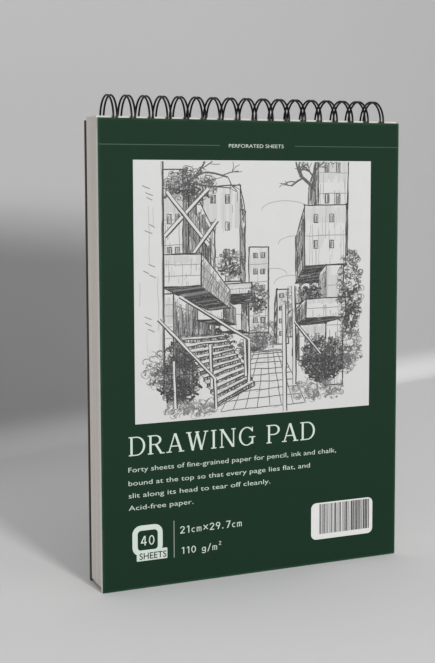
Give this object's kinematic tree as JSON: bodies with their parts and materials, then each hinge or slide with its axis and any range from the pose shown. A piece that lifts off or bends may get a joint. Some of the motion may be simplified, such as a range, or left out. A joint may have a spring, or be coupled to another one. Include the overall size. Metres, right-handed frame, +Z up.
{
  "type": "sketchbook",
  "caption": "Top-bound drawing pad with rigid board covers, punched sheets and a black twin-loop wire, standing on its lower edge.",
  "frame": {"origin": "middle of the whole object's foot, on the surface that both covers' lower edges stand on", "axes": "+X along the binding, to the right as the front cover is read; the front cover faces -Y; +Z up, towards the wire"},
  "size_m": [0.211, 0.0311, 0.3132],
  "materials": {
    "cover_print": "matt laminated dark green print",
    "front_board": "pale cut edge, uncoated",
    "lining_paper": "smooth, uncoated",
    "drawing_paper": "fine-grained drawing paper",
    "back_board": "dark brown grey-board, uncoated",
    "binding_wire": "black enamelled steel wire, semi-gloss"
  },
  "bodies": {
    "block": {"wire_binding": "binding_wire", "sheet_04": "drawing_paper", "sheet_05": "drawing_paper", "sheet_06": "drawing_paper", "sheet_07": "drawing_paper", "sheet_08": "drawing_paper", "sheet_09": "drawing_paper", "sheet_10": "drawing_paper", "sheet_11": "drawing_paper", "sheet_12": "drawing_paper", "sheet_13": "drawing_paper", "sheet_14": "drawing_paper", "sheet_15": "drawing_paper", "sheet_16": "drawing_paper", "sheet_17": "drawing_paper", "sheet_18": "drawing_paper", "sheet_19": "drawing_paper", "sheet_20": "drawing_paper", "sheet_21": "drawing_paper", "sheet_22": "drawing_paper", "sheet_23": "drawing_paper", "sheet_24": "drawing_paper", "sheet_25": "drawing_paper", "sheet_26": "drawing_paper", "sheet_27": "drawing_paper", "sheet_28": "drawing_paper", "sheet_29": "drawing_paper", "sheet_30": "drawing_paper", "sheet_31": "drawing_paper", "sheet_32": "drawing_paper", "sheet_33": "drawing_paper", "sheet_34": "drawing_paper", "sheet_35": "drawing_paper", "sheet_36": "drawing_paper", "sheet_37": "drawing_paper", "sheet_38": "drawing_paper", "sheet_39": "drawing_paper", "sheet_40": "drawing_paper"},
    "sheet_03": {"sheet_03": "drawing_paper"},
    "sheet_02": {"sheet_02": "drawing_paper"},
    "sheet_01": {"sheet_01": "drawing_paper"},
    "front_cover": {"front_cover_print": "cover_print", "front_cover_board": "front_board", "front_cover_lining": "lining_paper"},
    "back_cover": {"back_cover_board": "back_board"}
  },
  "joints": [
    {"name": "sheet_03_turn", "type": "hinge", "parent": "block", "child": "sheet_03", "pos_m": [0, 0, 0.2984], "axis": [-1, 0, 0], "range_deg": [0, 180]},
    {"name": "sheet_02_turn", "type": "hinge", "parent": "sheet_03", "child": "sheet_02", "pos_m": [0, 0, 0.2984], "axis": [-1, 0, 0], "range_deg": [0, 180]},
    {"name": "sheet_01_turn", "type": "hinge", "parent": "sheet_02", "child": "sheet_01", "pos_m": [0, 0, 0.2984], "axis": [-1, 0, 0], "range_deg": [0, 180]},
    {"name": "front_cover_turn", "type": "hinge", "parent": "sheet_01", "child": "front_cover", "pos_m": [0, 0, 0.2984], "axis": [-1, 0, 0], "range_deg": [0, 180]},
    {"name": "back_cover_turn", "type": "hinge", "parent": "block", "child": "back_cover", "pos_m": [0, 0, 0.2984], "axis": [1, 0, 0], "range_deg": [0, 180]}
  ]
}
